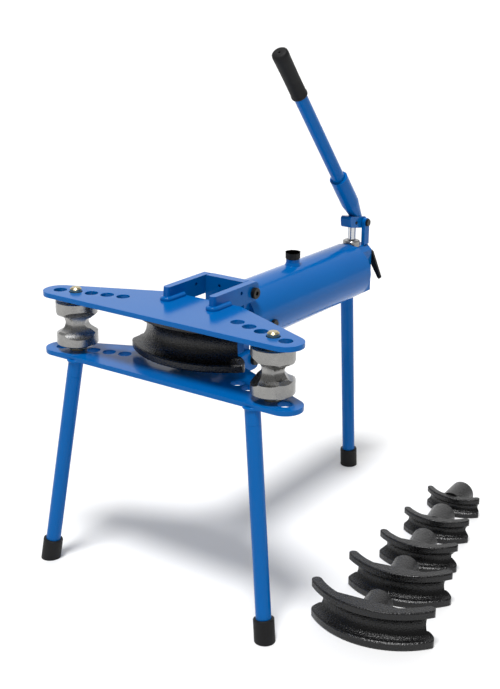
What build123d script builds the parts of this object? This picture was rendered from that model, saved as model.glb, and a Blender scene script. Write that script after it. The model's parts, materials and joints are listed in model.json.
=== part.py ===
from build123d import *
import os
from math import cos, degrees, radians, sin

# Hand-pumped hydraulic pipe bender on three legs, with its set of bending formers.
# Millimetres. The origin is on the floor, under the ram axis and midway between the
# two outermost support holes. +X runs along the wing plates, +Y back along the
# cylinder (the ram pushes towards -Y) and +Z up.

os.makedirs("parts", exist_ok=True)

# ---- Driving dimensions ----

# Heights
plate_t = 10.0          # wing plates
plate_top_z = 583.0     # upper face of the top plate above the floor
plate_gap = 112.0       # clear height between the two plates
ram_z = 520.0           # axis of the cylinder and the ram

# Wing plates
tip_x = 276.0           # centre of the rounded tip and of the outermost hole
tip_r = 35.0
corner_x = 90.0         # rear corners
corner_y = 122.0
hole_r = 13.5
hole_pitch = 35.0
row_angle = 16.0        # the rows of holes run back at this angle
holes_per_row = 5
support_hole = 1        # the pins stand in the second hole from the tip

# Side arms that carry the plates
arm_in_x = 49.0
arm_t = 16.0
arm_front_y = 66.0
arm_back_y = 218.0
arm_rise = 27.0         # above the plate's face
arm_drop = 12.0         # below it, behind the plate
pivot_y = 200.0
pivot_rise = 5.0        # pivot axis above the plate's face
pivot_r = 8.0

# Cylinder
flange_y = 188.0
flange_t = 20.0
flange_half_w = 48.5
barrel_r = 65.5
barrel_wall = 5.0
barrel_back_y = 672.0
liner_r = 32.0          # bore of the pressure tube
liner_wall = 6.0
rod_r = 20.0
piston_front_y = 575.0
collar_y = 107.0        # front face of the thrust collar, behind the former
run_gap = 0.05          # radial clearance of a running fit

# Pump
block_back_y = 738.0
block_half_w = 31.0
block_half_h = 57.0
plunger_y = 694.0
plunger_r = 7.5
lever_y = 727.0
lever_z = 630.0
lever_pin_r = 6.0
handle_lean = 40.0      # from upright, forwards
handle_r = 14.9
socket_r = 21.0
socket_end = 156.0      # from the lever's pivot, along the handle
handle_end = 544.0

# Legs
leg_r = 15.3
leg_seam = 34.0         # length of the welded stub
foot_r = 20.5
foot_h = 45.0

# Supports and formers
support_r = 42.0
support_h = 92.0
waist_r = 20.5          # flat of the groove to the pin's axis
pin_r = 12.5
pipe_sizes = [60.3, 21.3, 42.4, 26.9, 48.3, 33.7]

top_under_z = plate_top_z - plate_t
bottom_top_z = top_under_z - plate_gap
bottom_under_z = bottom_top_z - plate_t
plates_mid_z = (top_under_z + bottom_top_z) / 2
support_low_z = ram_z - support_h / 2


def save(piece, node):
    """Labels a finished piece and writes it as its own node."""
    piece.part.label = node
    export_step(piece.part, f"parts/{node}.step")


def hole_spot(side, k):
    """Centre of hole k, counted from the tip, on the left (-1) or right (1) wing."""
    x = tip_x - k * hole_pitch * cos(radians(row_angle))
    return (side * x, k * hole_pitch * sin(radians(row_angle)))


def across(y, z=ram_z, x=0.0):
    """A plane across the ram: local X is +X, local Y is +Z and extrusions run to -Y."""
    return Plane(origin=(x, y, z), x_dir=(1, 0, 0), z_dir=(0, -1, 0))


def upright(x=0.0, y=0.0, z=0.0):
    """A plane along the ram: local X is +Y, local Y is +Z and extrusions run to +X."""
    return Plane(origin=(x, y, z), x_dir=(0, 1, 0), z_dir=(1, 0, 0))


def ring(y_back, length, outer, inner, z=ram_z, x=0.0):
    """A round piece about an axis along Y, bored through when inner is given."""
    with BuildPart() as piece:
        with BuildSketch(across(y_back, z, x)):
            Circle(outer)
            if inner:
                Circle(inner, mode=Mode.SUBTRACT)
        extrude(amount=length)
    return piece


def post(x, y, z_low, height, outer, inner=0.0):
    """A round piece about an upright axis."""
    with BuildPart() as piece:
        with BuildSketch(Plane(origin=(x, y, z_low))):
            Circle(outer)
            if inner:
                Circle(inner, mode=Mode.SUBTRACT)
        extrude(amount=height)
    return piece


# ---- Wing plates and their side arms ----

def wing_plate(z_low):
    """Triangular plate with rounded tips and two rows of support holes."""
    spots = [hole_spot(side, k) for side in (-1, 1) for k in range(holes_per_row)]
    with BuildPart() as plate:
        with BuildSketch(Plane.XY.offset(z_low)):
            with Locations((-tip_x, 0), (tip_x, 0)):
                Circle(tip_r)
            with Locations((0, corner_y - plate_t)):
                Rectangle(2 * corner_x, 2 * plate_t)
            make_hull()
            with Locations(*spots):
                Circle(hole_r, mode=Mode.SUBTRACT)
        extrude(amount=plate_t)
    return plate


def arm_pair(face_z, up):
    """Two bars on a plate's outer face, bored for the pivot bolts and the lock pin."""
    low = face_z - up * arm_drop
    high = face_z + up * arm_rise
    with BuildPart() as arms:
        with BuildSketch(upright(arm_in_x)) as bar:
            with BuildLine():
                Polyline(
                    (arm_front_y, face_z),
                    (arm_front_y + 3, high),
                    (arm_back_y, high),
                    (arm_back_y, low),
                    (corner_y + 0.3, low),
                    (corner_y + 0.3, face_z),
                    close=True,
                )
            make_face()
            fillet(bar.vertices().group_by(Axis.X)[-1], radius=14)
            with Locations((pivot_y, face_z + up * pivot_rise)):
                Circle(pivot_r + run_gap, mode=Mode.SUBTRACT)
            with Locations((pivot_y - 42, face_z + up * 14)):
                Circle(4, mode=Mode.SUBTRACT)
        extrude(amount=arm_t)
        toe = arms.faces().sort_by(Axis.Y)[0]
        fillet([e for e in toe.edges() if abs(e.center().X - arm_in_x - arm_t / 2) > 1], radius=7)
        mirror(about=Plane.YZ)
    return arms


def shoulder_bolts(face_z, up):
    """A pivot bolt each side: shank through the arm, end in the flange, round head."""
    z = face_z + up * pivot_rise
    head_x = arm_in_x + arm_t + 0.4
    with BuildPart() as bolts:
        with BuildSketch(upright(flange_half_w - 14, pivot_y, z)):
            Circle(pivot_r)
        extrude(amount=head_x - flange_half_w + 14)
        with BuildSketch(upright(head_x, pivot_y, z)):
            Circle(11.5)
        extrude(amount=8)
        chamfer(bolts.faces().sort_by(Axis.X)[-1].edges(), length=1)
        with BuildSketch(upright(head_x + 4, pivot_y, z)):
            RegularPolygon(radius=5, side_count=6)
        extrude(amount=4, mode=Mode.SUBTRACT)
        mirror(about=Plane.YZ)
    return bolts


lower_face_z = bottom_under_z
save(wing_plate(top_under_z), "top_plate")
save(arm_pair(plate_top_z, 1), "top_plate_arms")
save(wing_plate(bottom_under_z), "bottom_plate")
save(arm_pair(lower_face_z, -1), "bottom_plate_arms")
save(shoulder_bolts(plate_top_z, 1), "top_pivot_bolts")
save(shoulder_bolts(lower_face_z, -1), "bottom_plate_bolts")

# ---- Front flange, barrel, pressure tube ----

with BuildPart() as front_flange:
    flange_h = plate_top_z + arm_rise - (lower_face_z - arm_rise)
    with BuildSketch(across(flange_y + flange_t, plates_mid_z)):
        Rectangle(2 * flange_half_w, flange_h)
    extrude(amount=flange_t)
    with BuildSketch(across(flange_y + flange_t)):
        Circle(liner_r + liner_wall + 0.1)
    extrude(amount=flange_t, mode=Mode.SUBTRACT)
    for face_z, up in ((plate_top_z, 1), (lower_face_z, -1)):
        for side in (-1, 1):
            start = Plane(
                origin=(side * (flange_half_w + 1), pivot_y, face_z + up * pivot_rise),
                z_dir=(-side, 0, 0),
            )
            with BuildSketch(start):
                Circle(pivot_r + 0.1)
            extrude(amount=15.5, mode=Mode.SUBTRACT)
    with BuildSketch(across(flange_y + 6, plate_top_z + 9, -13)):
        Circle(3.5)
    extrude(amount=6, mode=Mode.SUBTRACT)
    chamfer(front_flange.edges().filter_by(Axis.Y).group_by(Axis.Z)[-1], length=1.5)
save(front_flange, "front_flange")

barrel_front_y = flange_y + flange_t
neck_y = 441.0
neck_bore_r = 11.0
with BuildPart() as barrel:
    with BuildSketch(across(barrel_back_y)):
        Circle(barrel_r)
    extrude(amount=barrel_back_y - barrel_front_y)
    with BuildSketch(across(barrel_back_y)):
        Circle(barrel_r - barrel_wall)
    extrude(amount=barrel_back_y - barrel_front_y - 12, mode=Mode.SUBTRACT)
    with BuildSketch(across(barrel_back_y)):
        Circle(liner_r + liner_wall + 0.1)
    extrude(amount=barrel_back_y - barrel_front_y, mode=Mode.SUBTRACT)
    with BuildSketch(Plane(origin=(0, neck_y, ram_z + 40))):
        Circle(neck_bore_r)
    extrude(amount=40, mode=Mode.SUBTRACT)
save(barrel, "barrel")

liner_front_y = flange_y + 8
liner = ring(barrel_back_y, barrel_back_y - liner_front_y, liner_r + liner_wall, liner_r)
save(liner, "pressure_tube")

with BuildPart() as gland:
    with BuildSketch(across(liner_front_y)):
        Circle(liner_r + liner_wall)
        Circle(rod_r + 0.4, mode=Mode.SUBTRACT)
    extrude(amount=13)
    with BuildSketch(across(liner_front_y + 24)):
        Circle(liner_r - 0.1)
        Circle(rod_r + 3.5, mode=Mode.SUBTRACT)
    extrude(amount=24)
save(gland, "cylinder_gland")

bush = ring(liner_front_y + 24, 24, rod_r + 3.5, rod_r + run_gap)
save(bush, "rod_bush")
save(ring(flange_y - 5, 2.5, rod_r + 6, rod_r + run_gap), "rod_wiper")

# ---- Ram: rod, thrust collar, piston, seal and return spring ----

nose_y = 64.0
with BuildPart() as rod:
    with BuildSketch(across(piston_front_y)):
        Circle(rod_r)
    extrude(amount=piston_front_y - nose_y)
    with BuildSketch(across(piston_front_y + 30)):
        Circle(12)
    extrude(amount=30)
    chamfer(rod.faces().sort_by(Axis.Y)[0].edges(), length=3)
save(rod, "ram_rod")

with BuildPart() as collar:
    with BuildSketch(across(collar_y + 10)):
        Circle(29)
        Circle(rod_r, mode=Mode.SUBTRACT)
    extrude(amount=10)
    chamfer(collar.faces().sort_by(Axis.Y)[-1].edges().sort_by(Edge.length)[-1], length=2)
save(collar, "thrust_collar")

seal_y = piston_front_y + 10
with BuildPart() as piston:
    with BuildSketch(across(piston_front_y + 24)):
        Circle(liner_r - run_gap)
        Circle(12, mode=Mode.SUBTRACT)
    extrude(amount=24)
    with BuildSketch(across(seal_y + 6)):
        Circle(liner_r)
        Circle(liner_r - 5, mode=Mode.SUBTRACT)
    extrude(amount=6, mode=Mode.SUBTRACT)
save(piston, "piston")
save(ring(seal_y + 6, 6, liner_r - run_gap, liner_r - 5), "piston_seal")

with BuildPart() as piston_nut:
    with BuildSketch(across(piston_front_y + 33)):
        RegularPolygon(radius=19, side_count=6)
        Circle(12, mode=Mode.SUBTRACT)
    extrude(amount=9)
save(piston_nut, "piston_nut")

spring_wire_r = 2.5
spring_r = rod_r + 6.2
spring_front_y = liner_front_y + 24 + spring_wire_r + 0.3
spring_back_y = piston_front_y - spring_wire_r - 0.3
spring_turns = 14
with BuildPart() as spring:
    with BuildLine() as coil:
        Helix(
            pitch=(spring_back_y - spring_front_y) / spring_turns,
            height=spring_back_y - spring_front_y,
            radius=spring_r,
            center=(0, spring_front_y, ram_z),
            direction=(0, 1, 0),
        )
    with BuildSketch(Plane(origin=coil.line @ 0, z_dir=coil.line % 0)):
        Circle(spring_wire_r)
    sweep(is_frenet=True)
save(spring, "return_spring")

# ---- Pump block with its drillings, valves and strainer ----

block_top_z = ram_z + block_half_h
delivery_z = 540.0
suction_z = ram_z - 49.0
valve_y = 684.0
block_chamfer = 13.0
release_x = 24.0
release_z = 552.0
with BuildPart() as pump_block:
    with BuildSketch(across(block_back_y)) as block_face:
        Rectangle(2 * block_half_w, 2 * block_half_h)
        chamfer(block_face.vertices().group_by(Axis.Y)[-1], length=block_chamfer)
    extrude(amount=block_back_y - barrel_back_y)
    with BuildSketch(across(barrel_back_y)):
        Circle(barrel_r - barrel_wall - 0.1)
        Circle(liner_r + liner_wall + 0.1, mode=Mode.SUBTRACT)
    extrude(amount=12)
    with BuildSketch(across(barrel_back_y + 6)):
        Circle(barrel_r)
    extrude(amount=6)
    # The cylinder above the block's flat top is cut back to clear the gland nut.
    with BuildSketch(Plane.XY.offset(block_top_z)):
        with Locations((0, plunger_y)):
            Rectangle(44, 42.5)
    extrude(amount=20, mode=Mode.SUBTRACT)
    with BuildSketch(Plane(origin=(0, plunger_y, suction_z))):
        Circle(3)
    extrude(amount=delivery_z - suction_z, mode=Mode.SUBTRACT)
    with BuildSketch(Plane(origin=(0, plunger_y, delivery_z - 4))):
        Circle(plunger_r + run_gap)
    extrude(amount=60, mode=Mode.SUBTRACT)
    for z in (delivery_z, suction_z):
        with BuildSketch(across(plunger_y, z)):
            Circle(4.6)
        extrude(amount=plunger_y - barrel_back_y + 12, mode=Mode.SUBTRACT)
    with BuildSketch(across(block_back_y, release_z, release_x)):
        Circle(6)
    extrude(amount=44, mode=Mode.SUBTRACT)
save(pump_block, "pump_block")

with BuildPart() as check_balls:
    with Locations((0, valve_y, delivery_z), (0, valve_y, suction_z)):
        Sphere(4)
    with Locations((release_x, block_back_y - 39.6, release_z)):
        Sphere(4)
save(check_balls, "valve_balls")


valve_wire_r = 0.5
with BuildPart() as delivery_spring:
    with BuildLine() as turns:
        Helix(
            pitch=1.9,
            height=5.7,
            radius=3.1,
            center=(0, barrel_back_y + 1, delivery_z),
            direction=(0, 1, 0),
        )
    with BuildSketch(Plane(origin=turns.line @ 0, z_dir=turns.line % 0)):
        Circle(valve_wire_r)
    sweep(is_frenet=True)
save(delivery_spring, "delivery_valve_spring")

strainer_y = barrel_back_y - 12.5
with BuildPart() as strainer:
    with BuildSketch(across(strainer_y, suction_z)):
        Circle(9)
    extrude(amount=24)
    with BuildSketch(across(strainer_y + 10, suction_z)):
        Circle(4.4)
    extrude(amount=10)
    with BuildSketch(across(strainer_y + 10, suction_z)):
        Circle(2.5)
    extrude(amount=30, mode=Mode.SUBTRACT)
save(strainer, "suction_strainer")

with BuildPart() as gland_nut:
    with BuildSketch(Plane(origin=(0, plunger_y, block_top_z))):
        Circle(20)
    extrude(amount=14)
    chamfer(gland_nut.edges().group_by(Axis.Z)[-1], length=2)
    with BuildSketch(Plane(origin=(0, plunger_y, block_top_z))):
        Circle(plunger_r + 3)
    extrude(amount=10, mode=Mode.SUBTRACT)
    with BuildSketch(Plane(origin=(0, plunger_y, block_top_z))):
        Circle(plunger_r + run_gap)
    extrude(amount=14, mode=Mode.SUBTRACT)
save(gland_nut, "pump_gland_nut")
packing = post(0, plunger_y, block_top_z + 0.1, 9.8, plunger_r + 2.9, plunger_r + run_gap)
save(packing, "pump_packing")

plunger_low_z = delivery_z + 23
plunger_top_z = 642.0
link_z = 634.0
link_r = 3.0
lug_half_w = 13.5
with BuildPart() as plunger:
    with BuildSketch(Plane(origin=(0, plunger_y, plunger_low_z))):
        Circle(plunger_r)
    extrude(amount=plunger_top_z - plunger_low_z)
    fillet(plunger.edges().group_by(Axis.Z)[-1], radius=3)
    with BuildSketch(upright(-20, plunger_y, link_z)):
        Circle(link_r)
    extrude(amount=40, mode=Mode.SUBTRACT)
save(plunger, "pump_plunger")
with BuildPart() as link_pin:
    with BuildSketch(upright(-lug_half_w, plunger_y, link_z)):
        Circle(link_r)
    extrude(amount=2 * lug_half_w)
save(link_pin, "plunger_pin")

# ---- Lever bracket, pivot bolt, lever, handle and grip ----

ear_in_x = 14.0
ear_t = 9.0
ear_r = 11.0
with BuildPart() as ears:
    with BuildSketch(upright(ear_in_x)):
        with Locations((lever_y, lever_z)):
            Circle(ear_r)
        with Locations((lever_y, (lever_z + block_top_z) / 2)):
            Rectangle(2 * ear_r, lever_z - block_top_z)
        with Locations((lever_y, lever_z)):
            Circle(lever_pin_r + 0.1, mode=Mode.SUBTRACT)
    extrude(amount=ear_t)
    mirror(about=Plane.YZ)
save(ears, "lever_bracket")

ear_out_x = ear_in_x + ear_t
with BuildPart() as lever_bolt:
    with BuildSketch(upright(-ear_out_x - 10, lever_y, lever_z)):
        Circle(lever_pin_r)
    extrude(amount=2 * ear_out_x + 10)
    with BuildSketch(upright(ear_out_x, lever_y, lever_z)):
        Circle(9)
    extrude(amount=5)
    chamfer(lever_bolt.faces().sort_by(Axis.X)[-1].edges(), length=1.5)
save(lever_bolt, "lever_pivot_bolt")
with BuildPart() as lever_nut:
    with BuildSketch(upright(-ear_out_x - 9, lever_y, lever_z)):
        RegularPolygon(radius=10, side_count=6)
        Circle(lever_pin_r + 0.05, mode=Mode.SUBTRACT)
    extrude(amount=9)
save(lever_nut, "lever_pivot_nut")

along_handle = Plane(
    origin=(0, lever_y, lever_z),
    x_dir=(1, 0, 0),
    z_dir=(0, -sin(radians(handle_lean)), cos(radians(handle_lean))),
)
neck_low = 16.0
neck_high = 72.0
with BuildPart() as lever:
    with BuildSketch(upright(-lug_half_w, lever_y, lever_z)) as lug:
        with BuildLine():
            Polyline((-64, 24), (0, 14), (0, -14), (-60, -3), close=True)
        make_face()
        fillet(lug.vertices().sort_by(Axis.X)[:2], radius=7)
        Circle(14)
    extrude(amount=2 * lug_half_w)
    with BuildSketch(along_handle.offset(neck_low)):
        Circle(lug_half_w - 1)
    with BuildSketch(along_handle.offset(neck_high)):
        Circle(socket_r)
    loft()
    with BuildSketch(along_handle.offset(neck_high)):
        Circle(socket_r)
    extrude(amount=socket_end - neck_high)
    with BuildSketch(along_handle.offset(neck_high + 8)):
        Circle(handle_r + 0.3)
    extrude(amount=socket_end, mode=Mode.SUBTRACT)
    # Fork for the plunger's head, open below and in front.
    with BuildSketch(upright(-plunger_r - 0.75, lever_y, lever_z)):
        with BuildLine():
            Polyline((-54, -20), (-21, -20), (-21, 10), (-27, 17), (-47, 17), close=True)
        make_face()
    extrude(amount=2 * plunger_r + 1.5, mode=Mode.SUBTRACT)
    with BuildSketch(upright(-20, lever_y, lever_z)):
        with Locations((plunger_y - lever_y - 1, link_z - lever_z + 0.1)):
            SlotCenterToCenter(4, 2 * link_r + 1.6)
        Circle(lever_pin_r + run_gap)
    extrude(amount=40, mode=Mode.SUBTRACT)
save(lever, "pump_lever")

grip_start = 420.0
with BuildPart() as handle:
    with BuildSketch(along_handle.offset(neck_high + 9)):
        Circle(handle_r)
        Circle(handle_r - 2.5, mode=Mode.SUBTRACT)
    extrude(amount=handle_end - 6 - neck_high - 9)
save(handle, "handle_tube")
with BuildPart() as grip:
    with BuildSketch(along_handle.offset(grip_start)):
        Circle(18.4)
    extrude(amount=handle_end - grip_start)
    fillet(grip.edges().group_by(Axis.Z)[-1], radius=4)
    with BuildSketch(along_handle.offset(grip_start)):
        Circle(handle_r)
    extrude(amount=handle_end - 6 - grip_start, mode=Mode.SUBTRACT)
    with BuildSketch(along_handle.offset(grip_start)):
        Circle(2.5)
    extrude(amount=200, mode=Mode.SUBTRACT)
save(grip, "handle_grip")

# ---- Release valve ----

with BuildPart() as spindle:
    with BuildSketch(across(block_back_y + 14, release_z, release_x)):
        Circle(5.9)
    extrude(amount=49)
save(spindle, "release_spindle")
release_tip = (28.0, -55.0)
with BuildPart() as release_lever:
    with BuildSketch(across(block_back_y + 11, release_z, release_x)) as blade:
        Circle(9)
        with Locations(release_tip):
            Circle(4)
        make_hull()
        Circle(5.9, mode=Mode.SUBTRACT)
    extrude(amount=8)
    fillet(release_lever.faces().sort_by(Axis.Y)[-1].outer_wire().edges(), radius=1.5)
save(release_lever, "release_lever")

# ---- Filler neck, cap and seal ----

neck_top_z = 598.0
with BuildPart() as neck:
    with BuildSketch(Plane(origin=(0, neck_y, ram_z + 50))):
        Circle(23)
    with BuildSketch(Plane(origin=(0, neck_y, neck_top_z - 7))):
        Circle(15)
    loft()
    with BuildSketch(Plane(origin=(0, neck_y, neck_top_z - 7))):
        Circle(15)
    extrude(amount=7)
    with BuildSketch(across(neck_y + 40)):
        Circle(barrel_r)
    extrude(amount=80, mode=Mode.SUBTRACT)
    with BuildSketch(Plane(origin=(0, neck_y, ram_z))):
        Circle(neck_bore_r)
    extrude(amount=90, mode=Mode.SUBTRACT)
save(neck, "filler_neck")
seal = post(0, neck_y, neck_top_z, 2, 14.5, neck_bore_r)
save(seal, "filler_seal")
with BuildPart() as cap:
    with BuildSketch(Plane(origin=(0, neck_y, neck_top_z + 2))):
        Circle(16.3)
    extrude(amount=14)
    fillet(cap.edges().group_by(Axis.Z)[-1], radius=2)
    with BuildSketch(Plane(origin=(0, neck_y, neck_top_z - 10))):
        Circle(neck_bore_r - 0.4)
    extrude(amount=12)
save(cap, "filler_cap")

# ---- Side plugs in the barrel ----

plug_y = 272.0
plug_z = ram_z - 16
with BuildPart() as plugs:
    with BuildSketch(upright(barrel_r - 8, plug_y, plug_z)):
        RegularPolygon(radius=10, side_count=6)
    extrude(amount=14)
    with BuildSketch(across(plug_y + 20)):
        Circle(barrel_r)
    extrude(amount=40, mode=Mode.SUBTRACT)
    mirror(about=Plane.YZ)
save(plugs, "barrel_side_plugs")

# ---- Legs ----

legs = {
    "front_left": ((-219.0, -22.0, bottom_under_z), (-279.6, -63.3, 0.0)),
    "front_right": ((219.0, -22.0, bottom_under_z), (279.6, -63.3, 0.0)),
    "rear": ((0.0, 681.0, ram_z - block_half_h), (0.0, 717.0, 0.0)),
}


def leg_line(top, foot):
    """Plane at the foot, its normal up the leg, and the leg's length."""
    rise = Vector(*top) - Vector(*foot)
    return Plane(origin=foot, x_dir=(1, 0, 0), z_dir=rise), rise.length


with BuildPart() as stubs:
    for top, foot in legs.values():
        line, length = leg_line(top, foot)
        with BuildSketch(line.offset(length - leg_seam)):
            Circle(leg_r)
        extrude(amount=leg_seam + 10)
        with BuildSketch(line.offset(length - leg_seam)):
            Circle(10.2)
        extrude(amount=leg_seam - 8, mode=Mode.SUBTRACT)
        # Cut flat where the stub meets the tool
        with BuildSketch(Plane(origin=(top[0], top[1], top[2]))):
            Circle(2 * leg_r)
        extrude(amount=2 * leg_r, mode=Mode.SUBTRACT)
    with BuildSketch(across(barrel_back_y + 6)):
        Circle(barrel_r)
    extrude(amount=60, mode=Mode.SUBTRACT)
save(stubs, "leg_stubs")

foot_floor = 8.0
for name, (top, foot) in legs.items():
    line, length = leg_line(top, foot)
    tube_top = length - leg_seam - 0.3
    with BuildPart() as tube:
        with BuildSketch(line.offset(foot_floor)):
            Circle(leg_r)
        extrude(amount=tube_top - foot_floor)
        with BuildSketch(line.offset(foot_floor)):
            Circle(leg_r - 2.5)
        extrude(amount=tube_top - foot_floor - 25, mode=Mode.SUBTRACT)
        with BuildSketch(line.offset(tube_top)):
            Circle(9.9)
        extrude(amount=22)
    save(tube, f"leg_{name}")
    with BuildPart() as shoe:
        with BuildSketch(line.offset(-12)):
            Circle(foot_r)
        extrude(amount=foot_h + 12)
        fillet(shoe.edges().group_by(Axis.Z)[-1], radius=2)
        with BuildSketch(line.offset(foot_floor)):
            Circle(leg_r)
        extrude(amount=foot_h, mode=Mode.SUBTRACT)
        split(bisect_by=Plane.XY, keep=Keep.TOP)
    save(shoe, f"foot_{name}")

# ---- Supports, their pins and spacers ----

groove_flare = 0.8


def support(x, y, first, sizes):
    """Steel drum with six straight grooves, one for each size of pipe."""
    with BuildPart() as drum:
        with BuildSketch(Plane(origin=(x, y, support_low_z))):
            Circle(support_r)
        extrude(amount=support_h)
        chamfer(drum.edges(), length=2)
        for k, size in enumerate(sizes):
            a = radians(first + 60 * k)
            groove = Plane(
                origin=(x, y, ram_z),
                x_dir=(cos(a), sin(a), 0),
                z_dir=(sin(a), -cos(a), 0),
            )
            r = size / 2
            axis_at = waist_r + r
            reach = 60.0
            mouth = r + (reach - axis_at) * groove_flare
            with BuildSketch(groove):
                with Locations((axis_at, 0)):
                    Circle(r)
                with BuildLine():
                    Polyline(
                        (axis_at, -r), (reach, -mouth), (reach, mouth), (axis_at, r), close=True
                    )
                make_face()
            extrude(amount=50, both=True, mode=Mode.SUBTRACT)
        with BuildSketch(Plane(origin=(x, y, support_low_z))):
            Circle(pin_r + run_gap)
        extrude(amount=support_h, mode=Mode.SUBTRACT)
    return drum


step_z = top_under_z - 0.3
pin_top_z = plate_top_z + 9
drums = (
    (-1, "left", -38.0, pipe_sizes),
    (1, "right", -142.5, [60.3, 42.4, 26.9, 33.7, 48.3, 21.3]),
)
for side, name, first, sizes in drums:
    x, y = hole_spot(side, support_hole)
    save(support(x, y, first, sizes), f"support_{name}")
    with BuildPart() as pin:
        with BuildSketch(Plane(origin=(x, y, bottom_under_z - 6))):
            Circle(pin_r)
        extrude(amount=step_z - bottom_under_z + 6)
        with BuildSketch(Plane(origin=(x, y, bottom_top_z))):
            Circle(17.5)
        extrude(amount=support_low_z - 0.3 - bottom_top_z)
        with BuildSketch(Plane(origin=(x, y, step_z))):
            Circle(11.6)
        extrude(amount=pin_top_z - step_z)
        chamfer(pin.edges().group_by(Axis.Z)[-1], length=3)
    save(pin, f"support_pin_{name}")
    spacer_z = support_low_z + support_h + 0.3
    save(post(x, y, spacer_z, step_z - spacer_z, 17, pin_r), f"pin_spacer_{name}")

# ---- Bending formers ----

former_wall = 15.0
boss_half_w = 28.0
boss_len = 60.0
boss_rise = 28.0        # top of the boss above the socket's axis
socket_depth = 45.0
chord_share = 0.81      # straight back of the web, as a share of the rim's radius
web_share = 0.37        # half the width of that web

# name: bore of the groove, rim radius, height, centre, turn, half angle, base height
formers = {
    "former_2_inch": (60.3, 196.0, 92.0, (0.0, 197.0), 0.0, 47.0, ram_z - 46.0),
    "former_1_1_2_inch": (48.3, 175.0, 81.0, (413.0, 198.0), 7.7, 48.5, 0.0),
    "former_1_1_4_inch": (42.4, 150.0, 73.0, (386.5, 330.0), 12.4, 48.5, 0.0),
    "former_1_inch": (33.7, 118.5, 63.0, (366.0, 440.5), 11.9, 48.5, 0.0),
    "former_3_4_inch": (26.9, 104.0, 54.0, (344.0, 568.0), 10.1, 48.5, 0.0),
    "former_1_2_inch": (21.3, 90.0, 47.0, (330.5, 692.0), 2.9, 48.5, 0.0),
}


def former(size, rim, height, centre, turn, half, base_z):
    """Grooved segment with rounded horns and a blind socket for the ram in a boss."""
    r = size / 2
    inner = rim - r - former_wall
    lip_w = 8 + r / 2
    lip_in = rim - lip_w
    horn = half - degrees(lip_w / (rim + lip_in))
    start = radians(turn - 90 - half)
    middle = radians(turn - 90)
    ahead = Vector(cos(middle), sin(middle), 0)
    where = Vector(centre[0], centre[1], base_z)
    end_face = Plane(
        origin=where,
        x_dir=(cos(start), sin(start), 0),
        z_dir=(sin(start), -cos(start), 0),
    )
    plan = Plane(origin=where, x_dir=(cos(radians(turn)), sin(radians(turn)), 0))
    back = where + ahead * (inner - boss_len)
    boss_face = Plane(origin=back, x_dir=Vector(0, 0, 1).cross(ahead), z_dir=ahead)
    with BuildPart() as segment:
        # The rib: a channel whose back follows the groove, thin at the lips
        with BuildSketch(end_face) as rib:
            with BuildLine():
                Polyline(
                    (inner, height / 3),
                    (lip_in, 0),
                    (rim, 0),
                    (rim, height),
                    (lip_in, height),
                    (inner, height * 2 / 3),
                    close=True,
                )
            make_face()
            fillet(rib.vertices().group_by(Axis.X)[-1], radius=3)
        revolve(axis=Axis(where, (0, 0, 1)), revolution_arc=2 * half)
        # The web ends short of the lips, whose ends are round
        with BuildSketch(plan):
            with BuildLine(mode=Mode.PRIVATE):
                middle_line = CenterArc((0, 0), (rim + lip_in) / 2, 270 - horn, 2 * horn)
            SlotArc(middle_line, lip_w)
            reach = 2 * rim
            with BuildLine():
                Polyline(
                    (0, 0),
                    (-reach * sin(radians(horn)), -reach * cos(radians(horn))),
                    (reach * sin(radians(horn)), -reach * cos(radians(horn))),
                    close=True,
                )
            make_face()
        extrude(amount=height, mode=Mode.INTERSECT)
        # Straight-backed web in the middle
        with BuildSketch(plan):
            Circle(rim - 4)
            with Locations((0, -chord_share * rim - rim / 2)):
                Rectangle(2 * web_share * rim, rim, mode=Mode.INTERSECT)
        extrude(amount=height)
        top = height / 2 + boss_rise
        with BuildSketch(boss_face):
            with Locations((0, (top - boss_half_w) / 2)):
                Rectangle(2 * boss_half_w, top - boss_half_w)
            with Locations((0, top - boss_half_w)):
                Circle(boss_half_w)
            with Locations((0, -boss_half_w)):
                Rectangle(4 * boss_half_w, 2 * boss_half_w, mode=Mode.SUBTRACT)
        extrude(amount=boss_len + former_wall - 6)
        # The groove for the pipe, flared at its edges
        with BuildSketch(end_face):
            with Locations((rim, height / 2)):
                Circle(r)
            with BuildLine():
                Polyline(
                    (rim - 3, height / 2 - r + 0.2),
                    (rim + 1, height / 2 - r - 3),
                    (rim + 1, height / 2 + r + 3),
                    (rim - 3, height / 2 + r - 0.2),
                    close=True,
                )
            make_face()
        revolve(axis=Axis(where, (0, 0, 1)), revolution_arc=2 * half, mode=Mode.SUBTRACT)
        with BuildSketch(boss_face):
            with Locations((0, height / 2)):
                Circle(rod_r + run_gap)
        extrude(amount=socket_depth, mode=Mode.SUBTRACT)
    return segment


for name, spec in formers.items():
    save(former(*spec), name)
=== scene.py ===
# %% [markdown]
# # A pipe bender on three legs
# The engineering model gives every piece its true size and place, in metres.
# This lesson loads it, adds what the fabricator's hands leave behind, such as weld
# beads and eased edges, and then gives each piece its real finish.

import json
from math import cos, pi, radians, sin

import bmesh
import bpy
from mathutils import Matrix, Vector


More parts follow.
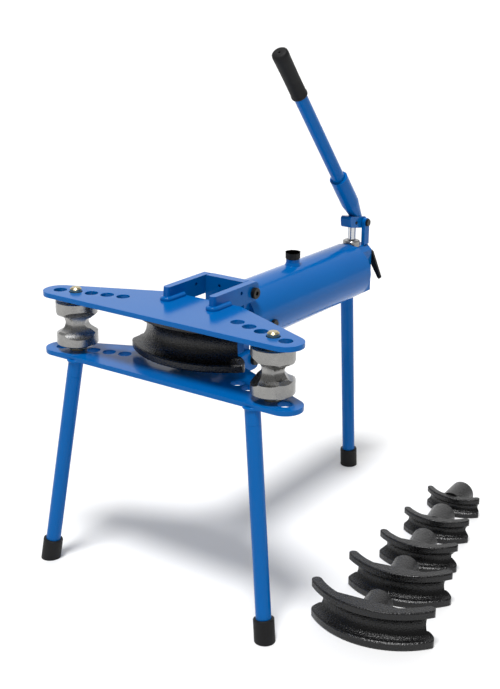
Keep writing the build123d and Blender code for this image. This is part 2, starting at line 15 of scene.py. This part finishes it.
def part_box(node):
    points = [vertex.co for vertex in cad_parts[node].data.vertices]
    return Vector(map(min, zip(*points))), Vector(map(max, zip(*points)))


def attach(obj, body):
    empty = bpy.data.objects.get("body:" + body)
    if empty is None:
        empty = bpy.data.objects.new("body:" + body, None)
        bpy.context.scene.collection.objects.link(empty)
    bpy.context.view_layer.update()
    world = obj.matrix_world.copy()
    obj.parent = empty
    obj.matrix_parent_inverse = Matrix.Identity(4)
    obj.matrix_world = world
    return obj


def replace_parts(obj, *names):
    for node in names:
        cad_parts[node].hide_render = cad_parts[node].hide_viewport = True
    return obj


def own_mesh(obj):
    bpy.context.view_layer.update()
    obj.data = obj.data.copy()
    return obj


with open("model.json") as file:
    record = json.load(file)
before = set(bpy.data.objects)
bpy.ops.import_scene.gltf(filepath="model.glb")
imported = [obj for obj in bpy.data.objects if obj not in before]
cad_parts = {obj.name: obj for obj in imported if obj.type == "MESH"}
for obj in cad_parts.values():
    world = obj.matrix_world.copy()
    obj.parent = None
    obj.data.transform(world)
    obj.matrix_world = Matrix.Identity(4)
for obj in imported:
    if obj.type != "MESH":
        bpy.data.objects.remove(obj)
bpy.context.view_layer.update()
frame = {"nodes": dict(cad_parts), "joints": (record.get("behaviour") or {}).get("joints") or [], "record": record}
nodes = frame["nodes"]
joints = {j["name"]: j for j in frame["joints"]}
MM = 0.001
print(len(nodes), "pieces from the engineering model")

# %% [markdown]
# ## Colour and nodes
# Paint colours are usually written as sRGB hex codes, while a shader mixes light in
# linear values. One function turns the first into the second, and one small function
# adds a shader node with its settings and links, so each finish below reads as a list.


# %% Colour and node helpers
def linear(code):
    """Linear RGBA from an sRGB hex code."""
    parts = [int(code[i : i + 2], 16) / 255 for i in (1, 3, 5)]
    return tuple(p / 12.92 if p <= 0.04045 else ((p + 0.055) / 1.055) ** 2.4 for p in parts) + (1,)


def add(tree, kind, values=None, links=None, **settings):
    """Adds a shader node, sets its values and links its inputs."""
    made = tree.nodes.new(kind)
    for key, value in settings.items():
        setattr(made, key, value)
    for key, value in (values or {}).items():
        made.inputs[key].default_value = value
    for key, source in (links or {}).items():
        tree.links.new(source, made.inputs[key])
    return made


def new_finish(name):
    """An empty material with its output, and its node tree."""
    material = bpy.data.materials.new(name)
    material.use_nodes = True
    material.node_tree.nodes.clear()
    return material, material.node_tree


def per_metre(size_mm):
    """Texture scale that gives a pattern of this size on Object coordinates."""
    return 1 / (size_mm * MM)


print("blue", linear("#005CA6"))

# %% [markdown]
# ## A finish in layers
# Most of the finishes here share one build: a broad patchiness in the colour, a fine
# grain in the roughness, and the same grain as a bump. What differs is the size and
# the strength of each, so one function takes those as sizes in millimetres.


# %% One layered finish
def layered(name, dark, light, rough, patch_mm, grain_mm, bump_mm, detail=4, **shader):
    """Patchy colour between two tones, grainy roughness between two values, and bump."""
    material, tree = new_finish(name)
    place = add(tree, "ShaderNodeTexCoord").outputs["Object"]
    patch = add(
        tree, "ShaderNodeTexNoise", {"Scale": per_metre(patch_mm), "Detail": 3}, {"Vector": place}
    )
    grain = add(
        tree, "ShaderNodeTexNoise", {"Scale": per_metre(grain_mm), "Detail": detail}, {"Vector": place}
    )
    tone = add(
        tree,
        "ShaderNodeMix",
        {6: linear(dark), 7: linear(light)},
        {0: patch.outputs["Fac"]},
        data_type="RGBA",
    )
    gloss = add(
        tree,
        "ShaderNodeMapRange",
        {"From Min": 0.3, "From Max": 0.7, "To Min": rough[0], "To Max": rough[1]},
        {"Value": grain.outputs["Fac"]},
    )
    bump = add(
        tree,
        "ShaderNodeBump",
        {"Strength": 1.0, "Distance": bump_mm * MM},
        {"Height": grain.outputs["Fac"]},
    )
    surface = add(
        tree,
        "ShaderNodeBsdfPrincipled",
        shader,
        {
            "Base Color": tone.outputs[2],
            "Roughness": gloss.outputs["Result"],
            "Normal": bump.outputs["Normal"],
        },
    )
    add(tree, "ShaderNodeOutputMaterial", links={"Surface": surface.outputs["BSDF"]})
    return material


# %% [markdown]
# ## Blue stoving enamel
# The frame is sprayed with a glossy blue enamel and baked. It levels well, but keeps
# a faint orange peel a few millimetres across, and its clear top reflects the bright
# room on every face that looks up.

# %% Blue enamel
blue_enamel = layered(
    "blue stoving enamel",
    "#005CA6",
    "#0064B0",
    (0.13, 0.2),
    patch_mm=160,
    grain_mm=6,
    bump_mm=0.012,
    **{"IOR": 1.5, "Specular IOR Level": 0.12},
)
print(blue_enamel.name)

# %% [markdown]
# ## Black enamelled iron casting
# The formers are sand cast in iron and dipped in black enamel. The sand's grain stays
# in the surface as pits a few millimetres across, and the thick enamel breaks every
# highlight into specks. A cell pattern over the grain gives those pits.

# %% Black enamelled casting
black_casting, cast_tree = new_finish("black enamelled iron casting")
cast_place = add(cast_tree, "ShaderNodeTexCoord").outputs["Object"]
sand = add(
    cast_tree, "ShaderNodeTexNoise", {"Scale": per_metre(2.6), "Detail": 5}, {"Vector": cast_place}
)
pits = add(cast_tree, "ShaderNodeTexVoronoi", {"Scale": per_metre(3.2)}, {"Vector": cast_place})
relief = add(
    cast_tree,
    "ShaderNodeMath",
    links={0: sand.outputs["Fac"], 1: pits.outputs["Distance"]},
    operation="ADD",
)
cast_bump = add(
    cast_tree,
    "ShaderNodeBump",
    {"Strength": 1.0, "Distance": 0.5 * MM},
    {"Height": relief.outputs["Value"]},
)
cast_gloss = add(
    cast_tree,
    "ShaderNodeMapRange",
    {"From Min": 0.35, "From Max": 0.65, "To Min": 0.2, "To Max": 0.42},
    {"Value": sand.outputs["Fac"]},
)
cast_tone = add(
    cast_tree,
    "ShaderNodeMix",
    {6: linear("#050506"), 7: linear("#0F0F11")},
    {0: sand.outputs["Fac"]},
    data_type="RGBA",
)
cast_surface = add(
    cast_tree,
    "ShaderNodeBsdfPrincipled",
    {"IOR": 1.5, "Specular IOR Level": 0.42},
    {
        "Base Color": cast_tone.outputs[2],
        "Roughness": cast_gloss.outputs["Result"],
        "Normal": cast_bump.outputs["Normal"],
    },
)
add(cast_tree, "ShaderNodeOutputMaterial", links={"Surface": cast_surface.outputs["BSDF"]})
print(black_casting.name)

# %% [markdown]
# ## Bare and plated metals
# The supports are forged and machined all over, left bare and oiled: grey with a dull,
# uneven sheen. Pins, collars and nuts are zinc plated and passivated, which gives the
# pale yellow. Bolts are blackened, and the rods are ground and chromed.

# %% Metals
forged_steel = layered(
    "machined forged steel", "#7A7A7A", "#A3A29F", (0.22, 0.4), 26, 2.4, 0.05, Metallic=1.0
)
yellow_zinc = layered(
    "yellow zinc plate", "#A89870", "#CFC6A6", (0.25, 0.42), 14, 1.6, 0.05, Metallic=1.0
)
black_oxide = layered(
    "black oxide steel", "#141414", "#26241F", (0.3, 0.48), 10, 1.5, 0.04, Metallic=0.6
)
hard_chrome = layered(
    "ground hard chrome", "#B9BBBE", "#CACCCF", (0.1, 0.18), 60, 1.2, 0.01, Metallic=1.0
)
turned_steel = layered(
    "turned plain steel", "#8A8B8D", "#A6A6A6", (0.25, 0.4), 30, 1.5, 0.05, Metallic=1.0
)
turned_brass = layered("turned brass", "#A6843C", "#C8A455", (0.22, 0.36), 20, 1.5, 0.03, Metallic=1.0)
print("six metals")

# %% [markdown]
# ## Rubber and plastic
# Moulded black rubber is matte, a little grey where it has been handled and scuffed.
# The filler cap is moulded nylon, smoother and slightly glossier than the rubber.

# %% Rubber and plastic
black_rubber = layered(
    "moulded black rubber",
    "#0A0A0B",
    "#151516",
    (0.5, 0.72),
    18,
    1.4,
    0.06,
    **{"IOR": 1.52, "Specular IOR Level": 0.25},
)
black_nylon = layered(
    "moulded black nylon",
    "#0A0A0A",
    "#141414",
    (0.36, 0.5),
    12,
    1.2,
    0.04,
    **{"IOR": 1.53, "Specular IOR Level": 0.3},
)
finish_of_slot = {
    "blue_paint": blue_enamel,
    "black_casting": black_casting,
    "black_steel": black_oxide,
    "machined_steel": forged_steel,
    "zinc_steel": yellow_zinc,
    "chromed_rod": hard_chrome,
    "plain_steel": turned_steel,
    "brass": turned_brass,
    "black_rubber": black_rubber,
    "black_plastic": black_nylon,
}
print(len(finish_of_slot), "finishes")

# %% [markdown]
# ## Dress the engineering pieces
# Each piece in the record names a material slot. The finish for that slot goes on
# every material slot of the piece, so nothing is left in its plain colour.

# %% Dress the engineering pieces
slot_of_node = {s["node"]: s["material_slot"] for s in frame["record"]["subparts"]}


def dress(piece, slot):
    """Puts one finish on the whole piece."""
    piece.data.materials.clear()
    piece.data.materials.append(finish_of_slot[slot])


for node_name, piece in nodes.items():
    dress(piece, slot_of_node[node_name])
print(len(nodes), "pieces dressed")

# %% [markdown]
# ## Make a piece from a bmesh
# Every new piece ends the same way: doubles merged, normals turned outwards, smooth
# shading with sharp edges kept, a finish, and a body to ride on.


# %% Keep a piece
def keep(bm, name, slot, body, smooth_below=35, tidy=True):
    """Turns a bmesh into a finished piece that rides on a body."""
    if tidy:
        bmesh.ops.remove_doubles(bm, verts=bm.verts, dist=0.005 * MM)
        bmesh.ops.recalc_face_normals(bm, faces=bm.faces)
    mesh = bpy.data.meshes.new(name)
    bm.to_mesh(mesh)
    bm.free()
    mesh.shade_smooth()
    mesh.set_sharp_from_angle(angle=radians(smooth_below))
    piece = bpy.data.objects.new(name, mesh)
    bpy.context.scene.collection.objects.link(piece)
    dress(piece, slot)
    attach(piece, body)
    print(name, len(mesh.polygons), "faces")
    return piece


# %% [markdown]
# ## Eased edges
# Cut plate never has a knife edge: it is ground before painting, and the enamel rounds
# it a little more. The bright line along such an edge is what makes plate look like
# plate. The engineering piece is copied, its loose triangles are merged, and only the
# edges that turn sharply are bevelled. Normals weighted by face area keep the broad
# faces flat beside their round edges.


# %% Ease the edges of the painted steel
def round_over(bm, edges, width_mm, segments=2):
    """Rounds the given edges."""
    bmesh.ops.bevel(
        bm,
        geom=edges,
        offset=width_mm * MM,
        offset_type="OFFSET",
        segments=segments,
        profile=0.5,
        affect="EDGES",
        material=-1,
        clamp_overlap=True,
    )


def eased_copy(node_name, body, width_mm, turn_above=35):
    """A copy of an engineering piece with its sharp edges rounded."""
    bm = bmesh.new()
    bm.from_mesh(nodes[node_name].data)
    bmesh.ops.remove_doubles(bm, verts=bm.verts, dist=0.002 * MM)
    sharp = [e for e in bm.edges if len(e.link_faces) == 2 and e.calc_face_angle() > radians(turn_above)]
    round_over(bm, sharp, width_mm)
    piece = keep(bm, node_name + "_eased", slot_of_node[node_name], body, tidy=False)
    even = piece.modifiers.new("even shading", "WEIGHTED_NORMAL")
    even.mode = "FACE_AREA"
    even.weight = 100
    even.keep_sharp = True
    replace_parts(piece, node_name)


for node_name, body, width in (
    ("top_plate", "top_frame", 0.8),
    ("bottom_plate", "base", 0.8),
    ("top_plate_arms", "top_frame", 1.2),
    ("bottom_plate_arms", "base", 1.2),
    ("front_flange", "base", 1.0),
    ("lever_bracket", "base", 0.8),
    ("pump_lever", "lever", 1.0),
):
    eased_copy(node_name, body, width)

# %% [markdown]
# ## Return spring
# The spring round the rod is pressed between the piston, which moves, and the cylinder's
# gland, which does not. Here it is a plain copy of the engineering piece that rides on
# the ram and moves out with it as one piece.

# %% Return spring
spring_bm = bmesh.new()
spring_bm.from_mesh(nodes["return_spring"].data)
bmesh.ops.remove_doubles(spring_bm, verts=spring_bm.verts, dist=0.002 * MM)
spring_slot = slot_of_node["return_spring"]
spring = keep(spring_bm, "pressed_return_spring", spring_slot, "ram", tidy=False)
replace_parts(spring, "return_spring")
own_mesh(spring)

# %% [markdown]
# ## Weld beads
# A fillet weld is a row of small overlapping ripples. A ring of vertices is pushed
# along the seam step by step, and every second step is a little fatter, which gives
# the ripples with one operator and no drawn profile.


# %% Weld beads
def bead(bm, path, radius_mm, closed=False, ripple=0.1):
    """Pushes a rippled bead along a path of points."""
    count = len(path)
    first = None
    for i, point in enumerate(path):
        after = path[(i + 1) % count] if closed or i + 1 < count else point
        before = path[i - 1] if closed or i > 0 else point
        heading = (after - before).normalized()
        swell = radius_mm * MM * (1 + (ripple if i % 2 else -ripple))
        if not closed and i in (0, count - 1):
            swell *= 0.45
        turn = heading.to_track_quat("Z", "Y").to_matrix().to_4x4()
        made = bmesh.ops.create_circle(
            bm, segments=10, radius=swell, matrix=Matrix.Translation(point) @ turn
        )["verts"]
        ring = [e for e in bm.edges if e.verts[0] in made and e.verts[1] in made]
        if first is None:
            first = ring
        else:
            bmesh.ops.bridge_loops(bm, edges=last + ring)
        last = ring
    if closed:
        bmesh.ops.bridge_loops(bm, edges=last + first)
    else:
        bmesh.ops.edgeloop_fill(bm, edges=first)
        bmesh.ops.edgeloop_fill(bm, edges=last)


def line(start, end, step_mm=2.2):
    """Evenly spaced points from start to end."""
    count = max(2, round((end - start).length / (step_mm * MM)))
    return [start.lerp(end, i / count) for i in range(count + 1)]


def arc(centre, radius, start_deg, end_deg, step_mm=2.2):
    """Evenly spaced points round an upright axis."""
    count = max(3, round(abs(radians(end_deg - start_deg)) * radius / (step_mm * MM)))
    turns = [radians(start_deg + (end_deg - start_deg) * i / count) for i in range(count + 1)]
    return [centre + radius * Vector((cos(t), sin(t), 0)) for t in turns]


arm_w = 16 * MM


def arm_welds(arms_node, plate_face_z, plate_back_y, body, sink):
    """A bead down both sides and round the toe of each arm."""
    low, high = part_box(arms_node)
    bm = bmesh.new()
    for side in (-1, 1):
        mid_x = side * (high.x - arm_w / 2)
        z = plate_face_z + sink
        toe = Vector((mid_x, low.y + arm_w / 2, z))
        back_y = plate_back_y - 3 * MM
        path = line(Vector((mid_x + arm_w / 2, back_y, z)), Vector((mid_x + arm_w / 2, toe.y, z)))[:-1]
        path += arc(toe, arm_w / 2, 0, -180)
        path += line(Vector((mid_x - arm_w / 2, toe.y, z)), Vector((mid_x - arm_w / 2, back_y, z)))[1:]
        bead(bm, path, 6.5, ripple=0.04)
    return keep(bm, arms_node + "_welds", "blue_paint", body, smooth_below=60)


top_plate_low, top_plate_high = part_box("top_plate")
bottom_plate_low, bottom_plate_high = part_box("bottom_plate")
arm_welds("top_plate_arms", top_plate_high.z, top_plate_high.y, "top_frame", 1.5 * MM)
arm_welds("bottom_plate_arms", bottom_plate_low.z, bottom_plate_high.y, "base", -1.5 * MM)

# %% [markdown]
# ## Welds round the leg stubs
# Each front stub is welded to the bottom plate with one ring where it meets the plate.

# %% Welds round the leg stubs
leg_r = 15.3 * MM
leg_top_x = 219 * MM
leg_top_y = -22 * MM
leg_welds = bmesh.new()
for side in (-1, 1):
    top = Vector((side * leg_top_x, leg_top_y, bottom_plate_low.z))
    bead(leg_welds, arc(top, leg_r + 0.5 * MM, 0, 360)[:-1], 3.2, closed=True, ripple=0.06)
keep(leg_welds, "leg_stub_welds", "blue_paint", "base", smooth_below=60)

# %% [markdown]
# ## Filler cap
# The cap is a nylon moulding with grip ribs round its rim. A circle with four points to
# a rib is pulled in at every second pair, extruded to height and given a bevelled top.
# A short plug below it goes into the filler neck.

# %% Filler cap
cap_low, cap_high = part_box("filler_cap")
cap_centre = (cap_low + cap_high) / 2
ribs = 28
cap = bmesh.new()
cap_r = (cap_high.x - cap_low.x) / 2
skirt_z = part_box("filler_seal")[1].z
rim = bmesh.ops.create_circle(
    cap,
    cap_ends=True,
    segments=4 * ribs,
    radius=cap_r,
    matrix=Matrix.Translation((cap_centre.x, cap_centre.y, skirt_z)),
)["verts"]
hollow = [v for i, v in enumerate(rim) if i % 4 in (0, 1)]
to_middle = Matrix.Translation((-cap_centre.x, -cap_centre.y, 0))
bmesh.ops.scale(cap, vec=(0.95, 0.95, 1), verts=hollow, space=to_middle)
raised = bmesh.ops.extrude_face_region(cap, geom=cap.faces[:])["geom"]
lifted = [v for v in raised if isinstance(v, bmesh.types.BMVert)]
bmesh.ops.translate(cap, verts=lifted, vec=(0, 0, cap_high.z - skirt_z - 2 * MM))
top_face = [f for f in raised if isinstance(f, bmesh.types.BMFace)]
bmesh.ops.inset_region(cap, faces=top_face, thickness=1.6 * MM, depth=2 * MM)
bmesh.ops.inset_region(cap, faces=top_face, thickness=4 * MM, depth=0)
bmesh.ops.create_cone(
    cap,
    cap_ends=True,
    segments=48,
    radius1=10.4 * MM,
    radius2=10.4 * MM,
    depth=skirt_z - cap_low.z,
    matrix=Matrix.Translation((cap_centre.x, cap_centre.y, (skirt_z + cap_low.z) / 2)),
)
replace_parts(keep(cap, "ribbed_filler_cap", "black_plastic", "cap", smooth_below=25), "filler_cap")

# %% [markdown]
# ## Hand grip
# The grip is a rubber sleeve pulled over the tube, with a lip at its open end and a
# round closed end with a vent hole. Half its outline is drawn once and spun.

# %% Hand grip
pivot = Vector(joints["lever_pivot"]["pos_m"])
handle_way = Vector(joints["handle_pull_out"]["axis"]).normalized()
grip_outline = [
    (15.1, 420.3),
    (18.2, 420.3),
    (18.4, 421.5),
    (18.4, 425),
    (17.5, 427),
    (17.3, 470),
    (17.8, 520),
    (18.3, 536),
    (17.4, 541),
    (14.5, 543.6),
    (4.0, 544),
    (2.5, 543.4),
    (2.5, 538.5),
    (15.1, 538.5),
]
grip = bmesh.new()
profile = [grip.verts.new((r * MM, 0, t * MM)) for r, t in grip_outline]
profile_edges = [grip.edges.new(pair) for pair in zip(profile, profile[1:] + profile[:1])]
bmesh.ops.spin(
    grip,
    geom=profile + profile_edges,
    cent=(0, 0, 0),
    axis=(0, 0, 1),
    angle=2 * pi,
    steps=64,
    use_merge=True,
)
along = Matrix.Translation(pivot) @ handle_way.to_track_quat("Z", "X").to_matrix().to_4x4()
bmesh.ops.transform(grip, matrix=along, verts=grip.verts)
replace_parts(keep(grip, "rubber_grip", "black_rubber", "handle", smooth_below=50), "handle_grip")

# %% [markdown]
# ## Floor, light and camera
# A pale floor wide enough to reach the horizon and one broad light overhead give soft
# shadows. The room is brighter behind the tool than in front: a face that looks up
# shows that bright wall at a shallow angle, and an upright face keeps its deep colour.

# %% Floor and light
floor_bm = bmesh.new()
bmesh.ops.create_grid(floor_bm, x_segments=1, y_segments=1, size=60)
floor_mesh = bpy.data.meshes.new("floor")
floor_bm.to_mesh(floor_mesh)
floor_bm.free()
floor = bpy.data.objects.new("floor", floor_mesh)
bpy.context.scene.collection.objects.link(floor)
floor.location.z = -0.4 * MM
floor.data.materials.append(
    layered("pale studio floor", "#F0F0F0", "#F6F6F6", (0.6, 0.7), 900, 8, 0.02, IOR=1.3)
)

room = bpy.data.worlds.new("studio room")
bpy.context.scene.world = room
room.use_nodes = True
room_tree = room.node_tree
room_tree.nodes.clear()
bright_side = radians(34)
way = add(room_tree, "ShaderNodeTexCoord").outputs["Generated"]
behind = add(
    room_tree,
    "ShaderNodeVectorMath",
    {1: (-sin(bright_side), cos(bright_side), 0)},
    {0: way},
    operation="DOT_PRODUCT",
)
wall = add(
    room_tree,
    "ShaderNodeMapRange",
    {"From Min": 0.2, "From Max": 0.8, "To Min": 0.3, "To Max": 1.15},
    {"Value": behind.outputs["Value"]},
)
backdrop = add(room_tree, "ShaderNodeBackground", links={"Strength": wall.outputs["Result"]})
backdrop.inputs["Color"].default_value = (1, 1, 1, 1)
add(room_tree, "ShaderNodeOutputWorld", links={"Surface": backdrop.outputs["Background"]})

key = bpy.data.lights.new("broad overhead light", "SUN")
key.energy = 2.8
key.angle = radians(15)
key_holder = bpy.data.objects.new("broad overhead light", key)
bpy.context.scene.collection.objects.link(key_holder)
key_aim = Vector((-0.08, 0.28, -1))
key_holder.rotation_euler = key_aim.to_track_quat("-Z", "Y").to_euler()
print("one broad light and a room that is brighter behind the tool")

# %% [markdown]
# ## Camera
# The camera looks down a little from the front and right, two and a half metres away,
# with the slight roll of a camera held by hand.

# %% Camera
camera_place = (1.3658, -1.6499, 1.2547)
turn = radians(33.729)
tilt = radians(18.475)
roll = radians(0.746)
back = Vector((sin(turn) * cos(tilt), -cos(turn) * cos(tilt), sin(tilt)))
level = Vector((cos(turn), sin(turn), 0))
rise = back.cross(level)
right = cos(roll) * level + sin(roll) * rise
up = cos(roll) * rise - sin(roll) * level
lens = bpy.data.cameras.new("camera")
lens.lens = 61.04
lens.shift_x = -0.0442
lens.shift_y = -0.0138
lens.clip_end = 200
camera = bpy.data.objects.new("camera", lens)
bpy.context.scene.collection.objects.link(camera)
camera.matrix_world = Matrix.Translation(camera_place) @ Matrix(
    (right, up, back)
).transposed().to_4x4()
bpy.context.scene.camera = camera
bpy.context.scene.view_settings.view_transform = "Standard"
print("camera at", camera_place)
